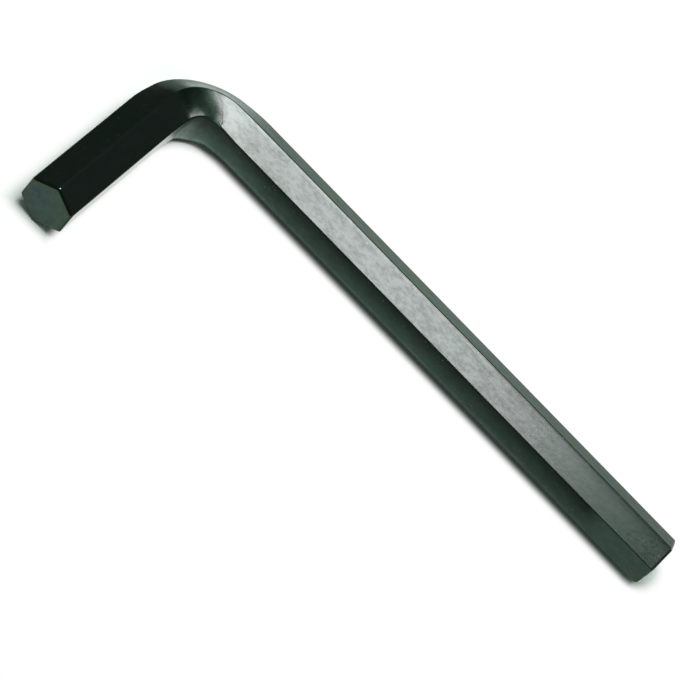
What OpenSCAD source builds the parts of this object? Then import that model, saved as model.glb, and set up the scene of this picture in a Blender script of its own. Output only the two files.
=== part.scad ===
// Hex key: one hexagonal steel bar with a long arm, a short arm and a right-angled bend.
// It lies flat on one long edge. The long arm runs along X, the short arm points to -Y.

/* [Bar] */
// Width across the flats of the hexagon
across_flats = 6; // [5:0.5:8]
// Radius that eases each of the six long edges
edge_radius = 0.3; // [0.1:0.05:0.6]

/* [Arms] */
// Length of the long arm, from the outside of the short arm
long_arm = 79; // [60:1:120]
// Length of the short arm, from the outside of the long arm
short_arm = 31; // [25:0.5:45]
// Width of the bevel round both cut ends
end_bevel = 0.25; // [0.1:0.05:0.5]

/* [Bend] */
// Radius of the inner flat round the bend
bend_radius = 3; // [2:0.25:8]
// How far the outer flat is drawn in at the middle of the bend
outer_draw = 0.9; // [0:0.05:1.1]
// How much the outer flat loses at each edge there
outer_narrowing = 0.15; // [0:0.05:0.4]
// How far the inner flat swells into the crook there
inner_swell = 0.4; // [0:0.05:0.8]
// How much the inner flat gains at each edge there
inner_spread = 0.85; // [0:0.05:1.1]
// How far the top and bottom edges sink there
ridge_sink = 0.15; // [0.05:0.05:0.4]
// How far this flow of the steel reaches into each arm
flow_reach = 3.5; // [1:0.5:6]

/* [Smoothness] */
// Steps round each eased edge
edge_steps = 4; // [2:2:6]
// Steps round the bend
bend_steps = 30; // [18:2:45]
// Steps along each arm's share of the flow
reach_steps = 7; // [4:1:12]

/* [Hidden] */
half_flats = across_flats / 2;
// Distance from the bar's axis to a sharp corner, which is also the width of one flat
corner_reach = across_flats / sqrt(3);
// What the eased edge takes off the corner
edge_loss = edge_radius * (1 / sin(60) - 1);
// Height of the bar's axis when the lowest edge lies on the ground
axis_height = corner_reach - edge_loss;
// The bar's axis turns on this radius, and is straight from arm_start on
axis_radius = bend_radius + half_flats;
arm_start = axis_radius + flow_reach;
// Travel along the axis from the middle of the bend to the end of the flow
flow_travel = axis_radius * PI / 4 + flow_reach;

// How strongly the section has flowed: 1 at the middle of the bend, 0 where the arms are true
function flow(travel) = pow(cos(90 * travel / flow_travel), 2);

// The section's six sharp corners as [outward, up], from the upper corner of the outer flat
function corners(flowed) =
    let (
        outer = half_flats - outer_draw * flowed,
        inner = half_flats + inner_swell * flowed,
        outer_rise = corner_reach / 2 - outer_narrowing * flowed,
        inner_rise = corner_reach / 2 + inner_spread * flowed,
        ridge = corner_reach - ridge_sink * flowed
    )
    [
        [outer, outer_rise],
        [0, ridge],
        [-inner, inner_rise],
        [-inner, -inner_rise],
        [0, -ridge],
        [outer, -outer_rise]
    ];

function unit(v) = v / norm(v);

// The arc that eases one corner between its two neighbours
function eased(before, corner, after) =
    let (
        back = unit(before - corner),
        ahead = unit(after - corner),
        half_angle = acos(back * ahead) / 2,
        centre = corner + unit(back + ahead) * edge_radius / sin(half_angle),
        start = corner + back * edge_radius / tan(half_angle) - centre,
        from = atan2(start.y, start.x),
        sweep = 180 - 2 * half_angle
    )
    [
        for (i = [0 : edge_steps])
            let (a = from + sweep * i / edge_steps)
            centre + edge_radius * [cos(a), sin(a)]
    ];

// The whole section with its edges eased
function section(flowed) =
    let (c = corners(flowed), n = len(c))
    [for (i = [0 : n - 1]) each eased(c[(i + n - 1) % n], c[i], c[(i + 1) % n])];

// Stations along the bend as [angle turned, run beyond the turn], from the short arm to the long one
stations = concat(
    [for (i = [0 : reach_steps - 1]) [0, -flow_reach * (1 - i / reach_steps)]],
    [for (i = [0 : bend_steps]) [90 * i / bend_steps, 0]],
    [for (i = [1 : reach_steps]) [90, flow_reach * i / reach_steps]]
);

// One section, turned and placed at its station
function ring(station) =
    let (
        turned = station[0],
        run = station[1],
        outward = [-cos(turned), sin(turned), 0],
        along = [sin(turned), cos(turned), 0],
        travel = axis_radius * (turned - 45) * PI / 180 + run
    )
    [
        for (p = section(flow(travel)))
            [axis_radius, -axis_radius, p.y] + outward * (axis_radius + p.x) + along * run
    ];

// The bend and its share of both arms, lofted through the stations
module bend() {
    count = len(section(0));
    last = (len(stations) - 1) * count;
    polyhedron(
        points = [for (s = stations) each ring(s)],
        faces = concat(
            [[for (j = [0 : count - 1]) j]],
            [
                for (i = [0 : count : last - 1], j = [0 : count - 1])
                    let (k = (j + 1) % count)
                    each [[i + j, i + count + j, i + count + k], [i + j, i + count + k, i + k]]
            ],
            [[for (j = [count - 1 : -1 : 0]) last + j]]
        ),
        convexity = 4
    );
}

// A slab, clear of the bar all round, that leaves the bevel on two opposite flats of an arm's end
module bevelled_slab(length) {
    top = half_flats - end_bevel;
    reach = across_flats;
    shoulder = length - (reach - top);
    rotate([90, 0, 0])
        linear_extrude(height = 2 * reach, center = true)
            polygon([
                [-reach, -reach],
                [reach, -reach],
                [reach, shoulder],
                [top, length],
                [-top, length],
                [-reach, shoulder]
            ]);
}

// A straight arm that stands on its inner end, with its outer end cut square and bevelled
module arm(length) {
    intersection() {
        linear_extrude(height = length)
            polygon(section(0));
        bevelled_slab(length);
        rotate(60)
            bevelled_slab(length);
        rotate(120)
            bevelled_slab(length);
    }
}

module hex_key() {
    color([0.13, 0.16, 0.15])
        translate([half_flats - long_arm / 2, short_arm / 2 - half_flats, axis_height]) {
            bend();
            translate([arm_start, 0, 0])
                rotate([90, 0, 90])
                    arm(long_arm - half_flats - arm_start);
            translate([0, -arm_start, 0])
                rotate([90, 0, 0])
                    arm(short_arm - half_flats - arm_start);
        }
}

hex_key();
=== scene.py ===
"""A hex key: one hexagonal steel bar, bent once and blackened, lying on a pale floor.

The file is laid out as an add-on with an operator for the bar and one for the stage around it.
All lengths are in metres unless a name says otherwise.
"""

import math

import bpy
import numpy as np
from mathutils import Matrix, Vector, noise


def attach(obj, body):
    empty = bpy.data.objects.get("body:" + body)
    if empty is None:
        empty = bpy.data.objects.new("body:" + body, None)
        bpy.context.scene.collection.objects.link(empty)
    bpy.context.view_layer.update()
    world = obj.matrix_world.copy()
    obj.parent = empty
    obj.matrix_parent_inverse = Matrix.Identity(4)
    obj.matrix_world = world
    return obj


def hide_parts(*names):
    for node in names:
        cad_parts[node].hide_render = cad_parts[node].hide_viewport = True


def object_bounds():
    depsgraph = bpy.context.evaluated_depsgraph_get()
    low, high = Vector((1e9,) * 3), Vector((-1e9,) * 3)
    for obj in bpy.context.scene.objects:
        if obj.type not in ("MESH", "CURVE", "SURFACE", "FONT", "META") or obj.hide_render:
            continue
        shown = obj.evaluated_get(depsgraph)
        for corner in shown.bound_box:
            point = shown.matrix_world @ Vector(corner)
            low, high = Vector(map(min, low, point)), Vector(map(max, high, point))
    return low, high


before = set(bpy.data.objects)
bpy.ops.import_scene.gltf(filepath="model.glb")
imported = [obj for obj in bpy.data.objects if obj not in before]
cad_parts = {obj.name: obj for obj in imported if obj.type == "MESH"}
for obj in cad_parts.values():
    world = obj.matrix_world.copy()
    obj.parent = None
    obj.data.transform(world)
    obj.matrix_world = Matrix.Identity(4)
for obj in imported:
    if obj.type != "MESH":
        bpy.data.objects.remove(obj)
SOLID_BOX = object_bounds()
SOLID_SPAN = SOLID_BOX[1] - SOLID_BOX[0]

bl_info = {
    "name": "Hex key",
    "version": (1, 0, 0),
    "blender": (4, 5, 0),
    "location": "3D View > Sidebar > Hex key",
    "description": "Makes a bent and blackened hexagonal key and the stage it lies on",
    "category": "Add Mesh",
}

MM = 0.001
NODE = "hex_key"


# What a user can set


def length(name, description, default, **more):
    """A length property, in metres."""
    return bpy.props.FloatProperty(
        name=name, description=description, default=default, unit="LENGTH", precision=5, **more
    )


def number(name, description, default, **more):
    """A plain number property."""
    return bpy.props.FloatProperty(name=name, description=description, default=default, **more)


def colour(name, description, default):
    """A colour property, in linear values."""
    return bpy.props.FloatVectorProperty(
        name=name, description=description, default=default, subtype="COLOR", size=3, min=0, max=1
    )


class BarSizes(bpy.types.PropertyGroup):
    """The sizes of the bent bar."""

    across_flats: length("Across flats", "Width across the flats of the hexagon", 6 * MM)
    edge_radius: length("Edge radius", "Radius that eases the six long edges", 0.3 * MM)
    long_arm: length("Long arm", "Length over the outside of the short arm", SOLID_SPAN.x)
    short_arm: length("Short arm", "Length over the outside of the long arm", SOLID_SPAN.y)
    end_bevel: length("End bevel", "Width of the bevel round both cut ends", 0.25 * MM)
    shoulder: length("Shoulder radius", "Radius that eases both rims of the bevel", 0.12 * MM)
    bend_radius: length("Bend radius", "Radius of the inner flat round the bend", 3 * MM)
    outer_draw: length("Outer draw", "How far the outer flat is drawn in", 0.9 * MM)
    outer_narrowing: length("Outer narrowing", "What each edge of it loses", 0.15 * MM)
    inner_swell: length("Inner swell", "How far the inner flat swells into the crook", 0.4 * MM)
    inner_spread: length("Inner spread", "What each edge of it gains", 0.85 * MM)
    ridge_sink: length("Ridge sink", "How far the top and bottom edges sink", 0.15 * MM)
    flow_reach: length("Flow reach", "How far the flow runs into each arm", 3.5 * MM)
    arm_spacing: length("Arm spacing", "Distance between rings along the arms", 0.3 * MM)
    bend_spacing: length("Bend spacing", "Distance between rings round the bend", 0.14 * MM)


class OxideFinish(bpy.types.PropertyGroup):
    """The blackened finish."""

    # The green hue is a tint painted where the flats are in shade, and the plain hue is used where
    # none is painted
    plain_hue: colour("Plain hue", "Hue of the oxide where it is clean", (0.935, 1.0, 0.975))
    shade_green_hue: colour("Green hue", "Hue of the oxide where it has a cast", (0.6, 1.0, 0.775))
    cut_oxide: colour("Cut oxide", "What it reflects on the cut ends", (0.044, 0.063, 0.061))
    green_cut_oxide: colour("Green cut oxide", "The same in patches", (0.044, 0.075, 0.048))
    bevel_oxide: colour("Bevel oxide", "What it reflects on their bevels", (0.022, 0.034, 0.019))
    steel: colour("Steel", "Bare steel at nicks and scratches", (0.42, 0.44, 0.42))
    sheen: colour("Sheen", "How it reflects at a shallow angle", (0.70, 0.81, 0.735))
    gloss: number("Gloss", "Roughness of the oxide", 0.22, min=0, max=1, subtype="FACTOR")
    cut_gloss: number("Cut gloss", "Roughness of the cut ends", 0.32, min=0, max=1)
    # Painted light: one oxide gets a different level on each kind of flat, by how the lamp falls on
    # it, and the upright flats get a brighter painted level at the long end
    inner_painted_light: number("Inner light", "What the inner sloping flats reflect", 0.068)
    outer_painted_light: number("Outer light", "What the outer sloping flats reflect", 0.055)
    side_painted_light: number("Side light", "What the upright flats reflect", 0.0371)
    side_end_painted_light: number("Side end light", "What they reflect at the long end", 0.055)


class StageSettings(bpy.types.PropertyGroup):
    """The floor, the lights and the camera."""

    paper: colour("Paper", "Colour of the floor", (0.86, 0.89, 0.87))
    flat_reach: length("Flat reach", "Radius of the floor's flat part", 0.9)
    sweep_reach: length("Sweep reach", "Radius at which the floor's sweep ends", 1.3)
    sweep_rise: length("Sweep rise", "Height of the sweep's rim", 0.08)
    lamp_place: bpy.props.FloatVectorProperty(
        name="Lamp place",
        description="Middle of the overhead lamp",
        default=(-0.020, -0.0015, 0.31),
        subtype="TRANSLATION",
        size=3,
    )
    lamp_width: length("Lamp width", "Width of the lamp", 0.189)
    lamp_depth: length("Lamp depth", "Depth of the lamp", 0.220)
    lamp_turn: bpy.props.FloatProperty(
        name="Lamp turn",
        description="How the lamp is turned about the upright",
        default=math.radians(-34.4),
        subtype="ANGLE",
    )
    lamp_light: number("Lamp light", "Brightness of the lamp's face, where paper is 1", 8.6)
    room: colour("Room", "Dim light from all round", (0.118, 0.16, 0.136))
    camera_place: bpy.props.FloatVectorProperty(
        name="Camera place",
        description="Where the camera stands",
        default=(-0.00527, -0.23408, 0.26203),
        subtype="TRANSLATION",
        size=3,
    )
    camera_turn: bpy.props.FloatVectorProperty(
        name="Camera turn",
        description="How the camera is turned",
        default=(math.radians(32.353), math.radians(-28.955), math.radians(37.070)),
        subtype="EULER",
        unit="ROTATION",
        size=3,
    )
    camera_lens: number("Lens", "Focal length in millimetres on a 36 mm sensor", 166.2)


# The bar's form

# Steps round each eased long edge, and where the points lie across each flat
EDGE_STEPS = 8
FLAT_SHARES = np.array([0.05, 0.1, 0.2, 0.35, 0.5, 0.65, 0.8, 0.9, 0.95])
# How far from an edge its finish reaches, and how much of its arc still faces as the flats do
EDGE_REACH = 0.5 * MM
EDGE_CRISPNESS = 0.2
# The most that wear adds to an edge's radius, how fast it changes along the bar, and how far
# apart in the noise the edges lie
EDGE_WEAR = 0.15
WEAR_PITCH = 0.35 / MM
WEAR_SHIFT = 7.0
# Steps round each rim of the bevel, two rings close behind it, and rings over the end's face
RIM_STEPS = 3
RING_GAPS = np.array([[0, 0.12 * MM], [0, 0.05 * MM]])
FACE_RINGS = 9


def flow(sizes, travel):
    """How strongly the section has flowed: 1 at the middle of the bend, 0 where the arms are true."""
    reach = (sizes.bend_radius + sizes.across_flats / 2) * math.pi / 4 + sizes.flow_reach
    return math.cos(math.pi / 2 * min(abs(travel) / reach, 1)) ** 2


def corners(sizes, flowed):
    """The section's six sharp corners as (outward, up), from the upper corner of the outer flat."""
    half = sizes.across_flats / 2
    corner_reach = sizes.across_flats / math.sqrt(3)
    outer = half - sizes.outer_draw * flowed
    inner = half + sizes.inner_swell * flowed
    outer_rise = corner_reach / 2 - sizes.outer_narrowing * flowed
    inner_rise = corner_reach / 2 + sizes.inner_spread * flowed
    ridge = corner_reach - sizes.ridge_sink * flowed
    return np.array(
        [
            (outer, outer_rise),
            (0, ridge),
            (-inner, inner_rise),
            (-inner, -inner_rise),
            (0, -ridge),
            (outer, -outer_rise),
        ]
    )


def unit(v):
    """v at length 1, along the last axis."""
    return v / np.linalg.norm(v, axis=-1, keepdims=True)


def towards(angle):
    """Unit directions at these angles."""
    return np.column_stack([np.cos(angle), np.sin(angle)])


def eased(before, corner, after, radius, steps, crispness=0.0):
    """The arc that eases one corner between its neighbours, as points and their normals.

    crispness is the share of the arc on either side that still faces as its flat does.
    """
    back, ahead = unit(before - corner), unit(after - corner)
    half_angle = math.acos(float(back @ ahead)) / 2
    centre = corner + unit(back + ahead) * radius / math.sin(half_angle)
    start = corner + back * radius / math.tan(half_angle) - centre
    first = math.atan2(start[1], start[0])
    turn = math.pi - 2 * half_angle
    if back[0] * ahead[1] - back[1] * ahead[0] > 0:
        turn = -turn
    share = np.arange(steps + 1) / steps
    turned = np.clip((share - crispness) / (1 - 2 * crispness), 0, 1)
    return centre + radius * towards(first + turn * share), towards(first + turn * turned)


def section(sizes, flowed, radii):
    """One whole section: points, normals, nearness to a long edge, height against the uprights."""
    sharp = corners(sizes, flowed)
    arcs = [
        eased(sharp[k - 1], sharp[k], sharp[(k + 1) % 6], radii[k], EDGE_STEPS, EDGE_CRISPNESS)
        for k in range(6)
    ]
    points, normals, nearness = [], [], []
    for k in range(6):
        arc, arc_normals = arcs[k]
        across = arcs[(k + 1) % 6][0][0] - arc[-1]
        from_edge = np.minimum(FLAT_SHARES, 1 - FLAT_SHARES) * np.linalg.norm(across)
        points += [arc, arc[-1] + across * FLAT_SHARES[:, None]]
        normals += [arc_normals, np.repeat(arc_normals[-1:], len(FLAT_SHARES), axis=0)]
        nearness += [np.ones(EDGE_STEPS + 1), np.clip(1 - from_edge / EDGE_REACH, 0, 1)]
    points = np.concatenate(points)
    height = points[:, 1] / np.where(points[:, 0] > 0, sharp[0][1], sharp[2][1])
    return points, np.concatenate(normals), np.concatenate(nearness), height


def uneven_radii(sizes, travel):
    """The easing of the six long edges at one station, which wear leaves slightly uneven."""
    wear = [0.5 + 0.5 * noise.noise((travel * WEAR_PITCH, WEAR_SHIFT * k, 0)) for k in range(6)]
    return [sizes.edge_radius * (1 + EDGE_WEAR * amount) for amount in wear]


def axis_at(sizes, travel):
    """The bar's axis at one travel from the middle of the bend: place, outward and along."""
    axis_radius = sizes.bend_radius + sizes.across_flats / 2
    half_turn = axis_radius * math.pi / 4
    turned = math.pi / 4 + max(-half_turn, min(travel, half_turn)) / axis_radius
    run = math.copysign(max(abs(travel) - half_turn, 0), travel)
    outward = np.array([-math.cos(turned), math.sin(turned), 0])
    along = np.array([math.sin(turned), math.cos(turned), 0])
    crossing = np.array(
        [
            sizes.across_flats / 2 - sizes.long_arm / 2,
            sizes.short_arm / 2 - sizes.across_flats / 2,
            sizes.across_flats / math.sqrt(3) - sizes.edge_radius * (1 / math.sin(math.pi / 3) - 1),
        ]
    )
    centre = crossing + np.array([axis_radius, -axis_radius, 0])
    return centre + outward * axis_radius + along * run, outward, along


def end_profile(sizes):
    """An end's rings as (inset, setback), from where the arm is full to the middle of the face."""
    bevel, shoulder = sizes.end_bevel, sizes.shoulder
    far = 2 * bevel
    turns = np.array([(0.0, bevel + far), (0.0, bevel), (bevel, 0.0), (bevel + far, 0.0)])
    rim = eased(turns[0], turns[1], turns[2], shoulder, RIM_STEPS)[0]
    lip = eased(turns[1], turns[2], turns[3], shoulder, RIM_STEPS)[0]
    middle = (rim[-1] + lip[0]) / 2
    half = sizes.across_flats / 2
    insets = lip[-1][0] + (half - lip[-1][0]) * np.arange(1, FACE_RINGS) / FACE_RINGS
    face = np.column_stack([insets, 0 * insets])
    return np.concatenate([rim[0] + RING_GAPS, rim, [middle], lip, face])


def rings(sizes):
    """Every ring from the short end to the long one, as (travel, inset, lies on a cut end)."""
    axis_radius = sizes.bend_radius + sizes.across_flats / 2
    half_turn = axis_radius * math.pi / 4
    straight = sizes.across_flats / 2 + axis_radius
    ends = (-(half_turn + sizes.short_arm - straight), half_turn + sizes.long_arm - straight)
    profile = end_profile(sizes)
    full = profile[0][1]
    flowing = half_turn + sizes.flow_reach

    def spaced(start, stop, spacing):
        """Even places from start to just before stop."""
        count = max(2, round((stop - start) / spacing))
        return [start + (stop - start) * i / count for i in range(count)]

    middle = spaced(ends[0] + full, -flowing, sizes.arm_spacing)
    middle += spaced(-flowing, flowing, sizes.bend_spacing)
    middle += spaced(flowing, ends[1] - full, sizes.arm_spacing)
    first = [(ends[0] + back, inset, inset > 0) for inset, back in profile[::-1]]
    last = [(ends[1] - back, inset, inset > 0) for inset, back in profile]
    return first[:-1] + [(travel, 0.0, False) for travel in middle] + last


def bar_mesh(sizes):
    """The bent bar as one closed mesh, with its true normals and what its finish needs."""
    places, around, unbent, edges, heights, cuts, bevels = [], [], [], [], [], [], []
    half = sizes.across_flats / 2
    for travel, inset, cut in rings(sizes):
        radii = uneven_radii(sizes, travel)
        points, normals, nearness, height = section(sizes, flow(sizes, travel), radii)
        points = points * (1 - inset / half)
        place, outward, along = axis_at(sizes, travel)
        up = np.array([0, 0, 1])
        places.append(place + points[:, :1] * outward + points[:, 1:] * up)
        around.append(-normals[:, 1:] * outward + normals[:, :1] * up)
        unbent.append(np.column_stack([np.full(len(points), travel), points]) / MM)
        edges.append(nearness)
        heights.append(height)
        cuts.append(cut)
        bevels.append(np.full(len(points), float(0 < inset < sizes.end_bevel)))
    places, around = np.array(places), np.array(around)
    count, per_ring = places.shape[:2]
    lengthwise = np.gradient(places, axis=0)
    normals = unit(np.cross(around, lengthwise))
    ends = [places[0].mean(axis=0), places[-1].mean(axis=0)]
    end_normals = [-axis_at(sizes, -1)[2], axis_at(sizes, 1)[2]]
    end_unbent = [unbent[0].mean(axis=0), unbent[-1].mean(axis=0)]

    vertices = np.concatenate([places.reshape(-1, 3), ends])
    vertex_normals = np.concatenate([normals.reshape(-1, 3), end_normals])
    faces, cut_faces = [], []
    for i in range(count - 1):
        for j in range(per_ring):
            k = (j + 1) % per_ring
            a, b = i * per_ring, (i + 1) * per_ring
            faces.append((a + j, a + k, b + k, b + j))
            cut_faces.append(cuts[i] or cuts[i + 1])
    start, stop, last = count * per_ring, count * per_ring + 1, (count - 1) * per_ring
    for j in range(per_ring):
        k = (j + 1) % per_ring
        faces += [(start, k, j), (stop, last + j, last + k)]
        cut_faces += [True, True]

    mesh = bpy.data.meshes.new(NODE)
    mesh.from_pydata(vertices.tolist(), [], faces)
    mesh.polygons.foreach_set("use_smooth", np.ones(len(faces), bool))
    mesh.polygons.foreach_set("material_index", np.array(cut_faces, np.int32))
    mesh.normals_split_custom_set_from_vertices(vertex_normals.tolist())
    straight = mesh.attributes.new("unbent", "FLOAT_VECTOR", "POINT")
    straight.data.foreach_set(
        "vector", np.concatenate([*unbent, end_unbent]).astype(np.float32).ravel()
    )
    for name, values in (("edge", edges), ("height", heights), ("bevel", bevels)):
        added = mesh.attributes.new(name, "FLOAT", "POINT")
        added.data.foreach_set("value", np.concatenate([*values, [0, 0]]).astype(np.float32))
    mesh.update()
    return mesh


# Shader maths


class Wire:
    """An output socket, so that maths on values reads as Python."""

    def __init__(self, shading, socket):
        self.shading, self.socket = shading, socket

    def maths(self, operation, first, second):
        """A Math node on two values."""
        return self.shading.add(
            "ShaderNodeMath", {"operation": operation}, {0: first, 1: second}, "Value"
        )

    def __add__(self, other):
        return self.maths("ADD", self, other)

    def __sub__(self, other):
        return self.maths("SUBTRACT", self, other)

    def __rsub__(self, other):
        return self.maths("SUBTRACT", other, self)

    def __mul__(self, other):
        return self.maths("MULTIPLY", self, other)

    def __abs__(self):
        return self.maths("ABSOLUTE", self, 0.0)

    __radd__, __rmul__ = __add__, __mul__

    def least(self, other):
        """The smaller of two values."""
        return self.maths("MINIMUM", self, other)

    def most(self, other):
        """The larger of two values."""
        return self.maths("MAXIMUM", self, other)

    def root(self):
        """The square root."""
        return self.maths("SQRT", self, 0.0)


class Shading:
    """The node tree of one material or world."""

    def __init__(self, owner):
        owner.use_nodes = True
        self.tree = owner.node_tree
        self.tree.nodes.clear()

    def add(self, kind, settings=None, inputs=None, output=0):
        """A node of one kind: its settings, then its sockets' values or links; returns one output."""
        node = self.tree.nodes.new(kind)
        for name, value in (settings or {}).items():
            setattr(node, name, value)
        for name, value in (inputs or {}).items():
            if isinstance(value, Wire):
                self.tree.links.new(value.socket, node.inputs[name])
            else:
                node.inputs[name].default_value = value
        return Wire(self, node.outputs[output]) if len(node.outputs) else None

    def step(self, value, span):
        """0 below a span and 1 above it, with a smooth rise over it."""
        return self.add(
            "ShaderNodeMapRange",
            {"interpolation_type": "SMOOTHSTEP"},
            {"Value": value, "From Min": span[0], "From Max": span[1]},
            "Result",
        )

    def fall(self, value, span):
        """1 below a span and 0 above it, with a smooth fall over it."""
        return 1 - self.step(value, span)

    def band(self, value, rising, falling):
        """A smooth rise from 0 to 1 over one span, and a fall to 0 again over another."""
        return self.step(value, rising) * self.fall(value, falling)

    def blend(self, factor, first, second):
        """Two colours mixed."""
        return self.add(
            "ShaderNodeMix",
            {"data_type": "RGBA"},
            {"Factor": factor, "A": rgba(first), "B": rgba(second)},
            "Result",
        )

    def part(self, vector, axis):
        """One part of a vector."""
        return self.add("ShaderNodeSeparateXYZ", {}, {0: vector}, axis)

    def scaled(self, vector, factor):
        """A colour or a vector times a number."""
        return self.add(
            "ShaderNodeVectorMath", {"operation": "SCALE"}, {0: vector, "Scale": factor}, "Vector"
        )

    def attribute(self, name, output):
        """One of the mesh's own attributes."""
        return self.add("ShaderNodeAttribute", {"attribute_name": name}, {}, output)

    def outside(self, value, low, high):
        """How far a value lies outside a span."""
        return (low - value).most(value - high).most(0.0)

    def hypot(self, first, second):
        """The length of two sides at a right angle."""
        return (first * first + second * second).root()

    def grain(self, place, along, across, detail=3.0, shift=0.0):
        """Noise whose grains are this long and wide, in the units of place.

        shift gives each grain its own part of the noise.
        """
        stretched = self.add(
            "ShaderNodeVectorMath",
            {"operation": "MULTIPLY_ADD"},
            {0: place, 1: (1 / along, 1 / across, 1 / across), 2: (shift, shift, shift)},
            "Vector",
        )
        return self.add(
            "ShaderNodeTexNoise", {}, {"Vector": stretched, "Scale": 1.0, "Detail": detail}, 0
        )


def rgba(value):
    """A colour with its alpha, or a wire as it is."""
    return value if isinstance(value, Wire) else (*value, 1.0)


# Finishes

# Places on the bar are in mm, as if it had never been bent: travel runs along its axis from the
# middle of the bend to the long end, outward and rise run across it. height runs from -1 to 1 over
# an upright flat, from its lower edge to its upper one. A span is where a value starts to change
# and where it has changed.

# The plain colour in the viewport
SWATCH = (0.13, 0.16, 0.15, 1)
# Spans of travel towards the long end, and into and out of the bend; of outward, over the top edge
FAR = (38.0, 72.0)
TURNING = ((-3.0, -1.5), (2.5, 6.0))
OUTER_HALF = (0.0, 0.3)
# How strongly the creases show in the colour
CREASE_SHADE = 1.8
# The relief, in mm
CLOUD_RISE = 0.006
MOTTLE_RISE = 0.003
FINE_RISE = 0.0002
MEAN_RISE = 0.005
NICK_DEPTH = 0.004
CREASE_RISE = 0.01


def upright(shading, height):
    """1 on the two upright flats and 0 on the sloping ones."""
    return shading.fall(abs(height), (0.92, 1.03))


def by_flat(shading, outward, height, inner, outer, side):
    """One value on the inner sloping flats, one on the outer ones and one on the upright ones."""
    crown = inner + (outer - inner) * shading.step(outward, OUTER_HALF)
    return crown + (side - crown) * upright(shading, height)


def inner_painted_light(shading, finish, travel, outward):
    """How much light the inner sloping flats reflect head on, which changes most in the bend.

    Painted light: painted highlights and painted shade round the bend, and painted shade towards the
    long end.
    """
    lead = travel + outward
    # A lower level on the long arm, and a painted highlight round the bend
    long_side = shading.step(travel, (-6.0, -2.0)) * 0.007
    painted_bend_highlight = shading.step(lead, (-1.5, 1.0)) * shading.fall(travel, (4.0, 10.0)) * 0.018
    # Painted shade at the heel of the bend
    heel = shading.band(travel, (-4.2, -3.2), (-1.2, 0.5))
    heel = heel * (0.7 - shading.step(outward, (-2.2, -1.2)) * 0.3)
    # Painted highlights along the edge of the lamp's reflection in the bend
    crest = shading.fall(outward, (-3.0, -2.2)) * 1.2
    first = shading.band(lead, (-1.8, -1.2), (0.1, 0.6)) * 0.75
    second = shading.band(lead, (0.0, 0.5), (0.9, 1.4)) * 0.85
    dawn = (first + second + crest) * shading.band(travel, (-0.6, 1.2), (3.0, 3.8))
    late = shading.step(travel, (1.9, 3.3)) * shading.fall(travel + outward * 1.6, (-0.65, 0.0))
    late = late * shading.fall(outward, (-2.9, -2.1)) * 5.5
    spot = shading.band(travel, (-4.1, -3.0), (-1.0, 0.4))
    spot = spot * shading.fall(outward, (-3.1, -2.7)) * 0.8
    # Painted shade towards the long end
    far = shading.step(travel, FAR) * shading.step(outward, (-1.3, -0.1)) * 0.35
    plain = finish.inner_painted_light - long_side + painted_bend_highlight
    return plain * (1 - heel) * (1 + dawn + late + spot) * (1 - far)


def outer_painted_light(shading, finish, travel, outward):
    """How much light the outer sloping flats reflect head on, which is most round the bend.

    Painted light: a painted highlight round the bend, and painted shade along the long arm and more
    at its end.
    """
    # Painted shade along the long arm, and more towards its end
    plain = finish.outer_painted_light - shading.step(travel, (-8.0, -3.5)) * 0.025
    plain = plain - shading.step(travel, FAR) * 0.03
    # A painted highlight round the bend, brighter by the top edge and dimmer by the outer one
    bent = shading.band(travel, (-2.8, -1.2), (4.0, 10.0))
    bent = bent * (0.18 - shading.step(travel, (-0.5, 1.5)) * 0.04)
    across = 0.5 - shading.step(outward, (0.7, 1.5)) * 0.87
    return (plain + bent) * (1 + shading.band(travel, *TURNING) * across)


def side_painted_light(shading, finish, travel, height):
    """How much light the upright flats reflect head on: painted light.

    Darker towards the upper edge, with painted shade along both edges and a painted highlight just
    above the lower one. Brighter near the short arm, round the bend and at the long end.
    """
    # Brighter near the short arm, less past the bend and towards the long end: painted light
    short = shading.fall(travel, (-3.0, 1.0))
    gain = 1.4 - shading.step(travel, (8.0, 16.0)) * 0.4 + short * 1.1
    gain = gain - shading.step(travel, FAR) * 0.25
    # Painted shade towards the upper edge, more so near the short arm
    side = (finish.side_painted_light - height * 0.0262) * gain
    side = side * (1 - short * shading.step(height, (0.1, 0.9)) * 0.7)
    side = side + shading.step(height, (0.5, 0.95)) * 0.004
    # Round the bend, brighter towards the lower edge: painted light
    side = side * (1 + shading.band(travel, *TURNING) * (0.1 - height * 0.45))
    # A painted shade line at the upper edge, painted shade at the lower edge and a painted highlight
    # just above it
    rim = shading.band(height, (0.88, 0.93), (0.98, 1.04)) * 0.75
    foot = shading.fall(height, (-0.97, -0.9)) * 0.7
    lip = shading.band(height, (-0.95, -0.9), (-0.74, -0.66)) * 0.2
    side = side * (1 - rim - foot + lip)
    # The brighter painted level at the long end
    return side + (finish.side_end_painted_light - side) * shading.step(travel, (64.0, 68.0))


def shade_green_tint(shading, travel, outward, height, drift):
    """How green the oxide on the drawn flats looks.

    A tint painted for shade: greener on the upright flats, on the outer flats past the bend, in the
    heel of the bend and towards the long end, and kept off the painted highlight there. A random
    drift is added on top.
    """
    heel = shading.step(travel, (-5.2, -3.6)) * shading.fall(travel + outward, (-0.3, 1.2))
    heel = heel * (1 - shading.step(travel, (0.4, 2.2)) * 0.6)
    blotch = shading.fall(outward, (-3.0, -2.4)) * shading.fall(travel, (-1.4, 0.4))
    inner = heel * (1 - blotch) * 0.85 + shading.step(travel, (50.0, 72.0)) * 0.55
    inner = inner + (drift - 0.5) * 0.4
    outer = shading.step(travel, (4.5, 7.0)) * 0.6 + (drift - 0.5) * 1.6
    side = shading.step(travel, (-1.0, 6.0)) * 0.6 + (drift - 0.5) * 0.9 + 0.4
    return by_flat(shading, outward, height, inner, outer, side)


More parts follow.
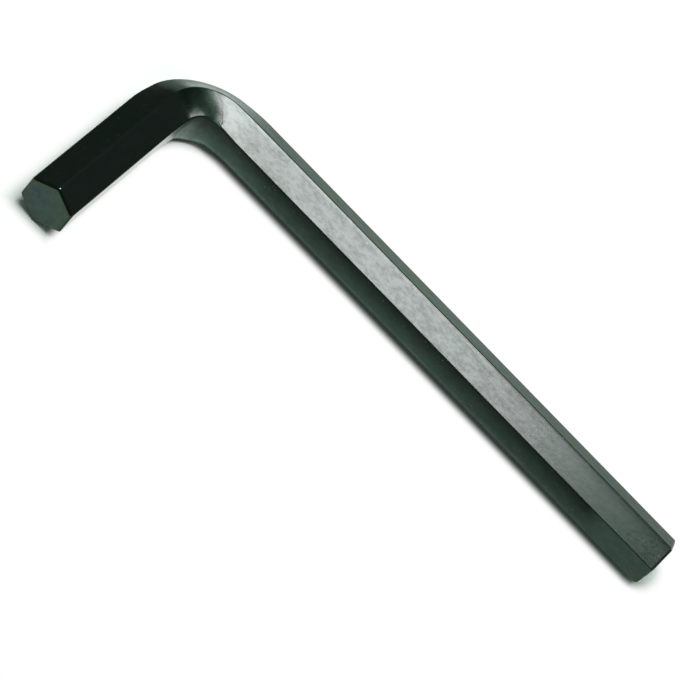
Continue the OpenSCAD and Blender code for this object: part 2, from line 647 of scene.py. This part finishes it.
def top_edge_painted_light(shading, travel, outward, rise, edge):
    """Painted light along the top edge: painted shade on its ridge along the long arm and a painted
    highlight line beside it.
    """
    top = shading.step(rise, (2.6, 2.8))
    outer_side = shading.step(outward, (-0.1, 0.0))
    inner_dark = shading.step(travel, (10.0, 66.0)) * (1 - outer_side) * 0.55
    outer_dark = shading.step(travel, (5.0, 10.0)) * outer_side * 0.8
    painted_edge_shade = shading.step(edge, (0.6, 1.0)) * top * (inner_dark + outer_dark)
    painted_gleam = shading.band(outward, (-0.38, -0.26), (-0.14, -0.04)) * top
    return (1 - painted_edge_shade) * (1 + painted_gleam * shading.step(travel, (5.0, 9.0)) * 0.24)


def oil(shading, travel, height):
    """How much oil lies on the upright flats of the short arm."""
    wiped = 1 - shading.step(travel, (-11.0, -6.0)) * 0.25
    return shading.fall(travel, (-6.0, -2.0)) * wiped * upright(shading, height) * 0.75


def creases(shading, place, travel, outward):
    """The fine creases across the outer flats of the bend."""
    bent = shading.band(travel, (-4.0, -1.5), (3.0, 7.0)) * shading.step(outward, (0.1, 0.4))
    return (shading.grain(place, along=0.13, across=1.6, detail=2.0, shift=79.0) - 0.5) * bent


def blackened(name, finish, cut):
    """Black oxide on steel, on the drawn flats with their long marks or on the cut ends."""
    material = bpy.data.materials.new(name)
    material.diffuse_color = SWATCH
    shading = Shading(material)
    place = shading.attribute("unbent", "Vector")
    edge = shading.attribute("edge", "Fac")
    height = shading.attribute("height", "Fac")
    travel, outward, rise = (shading.part(place, axis) for axis in "XYZ")
    drawn = 0.5 if cut else 1.0

    cloud = shading.grain(place, along=1.9 * drawn, across=1.1)
    mottle = shading.grain(place, along=0.6 * drawn, across=0.35, shift=11.0)
    lines = shading.grain(place, along=9.0 * drawn, across=0.07, detail=2.0, shift=23.0)
    grit = shading.grain(place, along=0.16, across=0.12, detail=2.0, shift=31.0)
    drift = shading.grain(place, along=5.0, across=3.0, detail=1.0, shift=67.0)
    pits = shading.grain(place, along=0.32, across=0.22, detail=1.0, shift=47.0)
    rubs = shading.grain(place, along=2.4, across=0.5, shift=53.0)
    nicks = shading.step(pits, (0.76, 0.8))
    bare = shading.step(edge * rubs, (0.62, 0.74)) * 0.05 + nicks * 0.25
    thick = shading.step(cloud * 0.45 + mottle * 0.35 + grit * 0.2, (0.40, 0.64))
    uneven = 1.12 - thick * 0.24
    relief = cloud * CLOUD_RISE + mottle * MOTTLE_RISE + (grit + lines) * FINE_RISE
    rough = shading.step(outward, (0.2, 0.5)) * (1 + shading.step(travel, (0.0, 5.0)) * 3.5)
    relief = (relief - MEAN_RISE - nicks * NICK_DEPTH) * (1 - edge * 0.85) * (1 + rough)

    if cut:
        bevel = shading.attribute("bevel", "Fac")
        tip = shading.step(bevel, (0.0, 0.2)) * shading.step(rise, (3.28, 3.36))
        tip = tip * shading.fall(abs(outward), (0.06, 0.14))
        bare = bare + tip
        face = shading.blend(drift * 2.5 - 0.75, finish.cut_oxide, finish.green_cut_oxide)
        body = shading.scaled(shading.blend(bevel, face, finish.bevel_oxide), uneven)
        gloss = finish.cut_gloss - tip * 0.2
        oiled = 0.0
    else:
        creased = creases(shading, place, travel, outward)
        relief = relief + creased * CREASE_RISE
        # The flats' colour carries painted light: painted highlights, painted shade and a green tint
        # painted for shade, on top of the oxide's own uneven tone and creases
        inner = inner_painted_light(shading, finish, travel, outward)
        outer = outer_painted_light(shading, finish, travel, outward)
        side = side_painted_light(shading, finish, travel, height)
        light = by_flat(shading, outward, height, inner, outer, side) * uneven
        light = light * (1 + creased * CREASE_SHADE)
        light = light * top_edge_painted_light(shading, travel, outward, rise, edge)
        green = shade_green_tint(shading, travel, outward, height, drift)
        body = shading.scaled(shading.blend(green, finish.plain_hue, finish.shade_green_hue), light)
        gloss = finish.gloss
        oiled = oil(shading, travel, height)

    bump = {"Strength": 1.0, "Distance": MM, "Height": relief}
    surface = shading.add(
        "ShaderNodeBsdfPrincipled",
        {},
        {
            "Base Color": shading.blend(bare, body, finish.steel),
            "Metallic": 1.0,
            "Roughness": thick * 0.04 + mottle * 0.06 + (gloss - 0.05),
            "Specular Tint": rgba(finish.sheen),
            "Coat Weight": oiled,
            "Coat Roughness": 0.15,
            "Normal": shading.add("ShaderNodeBump", {}, bump, "Normal"),
        },
        "BSDF",
    )
    shading.add("ShaderNodeOutputMaterial", {}, {"Surface": surface})
    return material


# The floor keeps the bar's shade along lines that run this far outside the bar's axis
SHADE_SHIFT = 1.0 * MM
# The radius on which they turn at the bend
SHADE_TURN = 10.0 * MM
# How far inside the long end and the short end they stop
LONG_END_SHADE = 1.5 * MM
SHORT_END_SHADE = 0.1 * MM
# The floor turns from paper to plain white over this distance from them
SHADE_SPAN = (2.7 * MM, 4.4 * MM)
# How much faster it does so along the turn's line where that has left its quarter
OFF_TURN = 3.0
# Further out than the key reaches
ANYWHERE = 0.1


def paper(stage, sizes):
    """The floor: plain pale paper that keeps the key's shadow, and is white further out."""
    material = bpy.data.materials.new("pale_paper")
    shading = Shading(material)
    place = shading.add("ShaderNodeTexCoord", {}, {}, "Object")
    x, y = shading.part(place, "X"), shading.part(place, "Y")
    left = sizes.across_flats / 2 - sizes.long_arm / 2 - SHADE_SHIFT
    back = sizes.short_arm / 2 - sizes.across_flats / 2 + SHADE_SHIFT
    right, front = sizes.long_arm / 2 - LONG_END_SHADE, SHORT_END_SHADE - sizes.short_arm / 2
    turn_x, turn_y = left + SHADE_TURN, back - SHADE_TURN

    from_long = shading.hypot(shading.outside(x, left, right), y - back)
    beside = shading.hypot(x - left, shading.outside(y, -ANYWHERE, back))
    beyond = shading.outside(y, front, ANYWHERE) + SHADE_SPAN[0]
    from_bend = abs(shading.hypot(x - turn_x, y - turn_y) - SHADE_TURN)
    from_bend = from_bend + shading.outside(x, -ANYWHERE, turn_x) * OFF_TURN
    from_bend = from_bend + shading.outside(y, turn_y, ANYWHERE) * OFF_TURN
    distance = from_long.least(beside.most(beyond)).least(from_bend)
    camera, glossy, through = (
        shading.add("ShaderNodeLightPath", {}, {}, ray)
        for ray in ("Is Camera Ray", "Is Glossy Ray", "Is Transmission Ray")
    )
    matt = shading.add("ShaderNodeBsdfDiffuse", {}, {"Color": rgba(stage.paper)}, "BSDF")
    white = shading.add(
        "ShaderNodeEmission", {}, {"Color": (1, 1, 1, 1), "Strength": 1.0}, "Emission"
    )
    far = shading.step(distance, SHADE_SPAN) * (camera + glossy + through)
    mixed = shading.add("ShaderNodeMixShader", {}, {0: far, 1: matt, 2: white}, "Shader")
    shading.add("ShaderNodeOutputMaterial", {}, {"Surface": mixed})
    return material


# The stage

# The floor's sides, the radii of its rings inside the flat part's rim, and rings up its sweep
FLOOR_SIDES = 96
INNER_RADII = (0.0, 0.1, 0.3)
SWEEP_STEPS = 12
# The nearest and the furthest that the camera sees
SIGHT = (0.01, 10)


def floor_mesh(stage):
    """A round floor that is flat round the key and sweeps up to a low rim."""
    radii = [*INNER_RADII, stage.flat_reach]
    heights = [0.0] * len(radii)
    for i in range(1, SWEEP_STEPS + 1):
        share = i / SWEEP_STEPS
        radii.append(stage.flat_reach + (stage.sweep_reach - stage.flat_reach) * share)
        heights.append(stage.sweep_rise * share**2)
    vertices = [(0, 0, 0)]
    for radius, height in zip(radii[1:], heights[1:]):
        for j in range(FLOOR_SIDES):
            a = 2 * math.pi * j / FLOOR_SIDES
            vertices.append((radius * math.cos(a), radius * math.sin(a), height))
    faces = [(0, 1 + j, 1 + (j + 1) % FLOOR_SIDES) for j in range(FLOOR_SIDES)]
    for i in range(len(radii) - 2):
        a, b = 1 + i * FLOOR_SIDES, 1 + (i + 1) * FLOOR_SIDES
        for j in range(FLOOR_SIDES):
            k = (j + 1) % FLOOR_SIDES
            faces.append((a + j, b + j, b + k, a + k))
    mesh = bpy.data.meshes.new("floor")
    mesh.from_pydata(vertices, [], faces)
    mesh.polygons.foreach_set("use_smooth", np.ones(len(faces), bool))
    mesh.update()
    return mesh


def link(name, data):
    """A new object in the scene."""
    thing = bpy.data.objects.new(name, data)
    bpy.context.scene.collection.objects.link(thing)
    return thing


class HEXKEY_OT_bar(bpy.types.Operator):
    """Make the bent bar with its flowed bend, bevelled ends and black oxide"""

    bl_idname = "hexkey.bar"
    bl_label = "Make the bar"

    def execute(self, context):
        sizes, finish = context.scene.hexkey_bar, context.scene.hexkey_finish
        bar = link("bent_bar", bar_mesh(sizes))
        bar.data.materials.append(blackened("black_oxide_flats", finish, False))
        bar.data.materials.append(blackened("black_oxide_ends", finish, True))
        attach(bar, "root")
        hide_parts(NODE)
        return {"FINISHED"}


class HEXKEY_OT_stage(bpy.types.Operator):
    """Make the pale floor, the soft lamp overhead, the dim room and the camera"""

    bl_idname = "hexkey.stage"
    bl_label = "Make the stage"

    def execute(self, context):
        stage, sizes = context.scene.hexkey_stage, context.scene.hexkey_bar
        floor = link("floor", floor_mesh(stage))
        floor.data.materials.append(paper(stage, sizes))

        lamp = bpy.data.lights.new("overhead_lamp", "AREA")
        lamp.shape = "RECTANGLE"
        lamp.size, lamp.size_y = stage.lamp_width, stage.lamp_depth
        lamp.energy = stage.lamp_light * math.pi * stage.lamp_width * stage.lamp_depth
        hung = link("overhead_lamp", lamp)
        hung.location, hung.rotation_euler.z = stage.lamp_place, stage.lamp_turn

        room = bpy.data.worlds.new("room")
        shading = Shading(room)
        glow = shading.add("ShaderNodeBackground", {}, {"Color": rgba(stage.room)}, "Background")
        shading.add("ShaderNodeOutputWorld", {}, {"Surface": glow})
        context.scene.world = room

        camera = bpy.data.cameras.new("camera")
        camera.lens = stage.camera_lens
        camera.clip_start, camera.clip_end = SIGHT
        stand = link("camera", camera)
        stand.location, stand.rotation_euler = stage.camera_place, stage.camera_turn
        context.scene.camera = stand
        context.scene.view_settings.view_transform = "Standard"
        return {"FINISHED"}


class HEXKEY_PT_panel(bpy.types.Panel):
    """The hex key's steps, in order"""

    bl_idname = "HEXKEY_PT_panel"
    bl_label = "Hex key"
    bl_space_type = "VIEW_3D"
    bl_region_type = "UI"
    bl_category = "Hex key"

    def draw(self, context):
        for operator in OPERATORS:
            self.layout.operator(operator.bl_idname)


GROUPS = {"hexkey_bar": BarSizes, "hexkey_finish": OxideFinish, "hexkey_stage": StageSettings}
OPERATORS = (HEXKEY_OT_bar, HEXKEY_OT_stage)


def register():
    """Adds the settings, the operators and the panel."""
    for name, group in GROUPS.items():
        bpy.utils.register_class(group)
        setattr(bpy.types.Scene, name, bpy.props.PointerProperty(type=group))
    for kind in (*OPERATORS, HEXKEY_PT_panel):
        bpy.utils.register_class(kind)


def unregister():
    """Takes them all away again."""
    for kind in (HEXKEY_PT_panel, *reversed(OPERATORS)):
        bpy.utils.unregister_class(kind)
    for name, group in reversed(GROUPS.items()):
        delattr(bpy.types.Scene, name)
        bpy.utils.unregister_class(group)


def main():
    """Makes the key and its stage."""
    register()
    bpy.ops.hexkey.bar()
    bpy.ops.hexkey.stage()


if __name__ == "__main__":
    main()
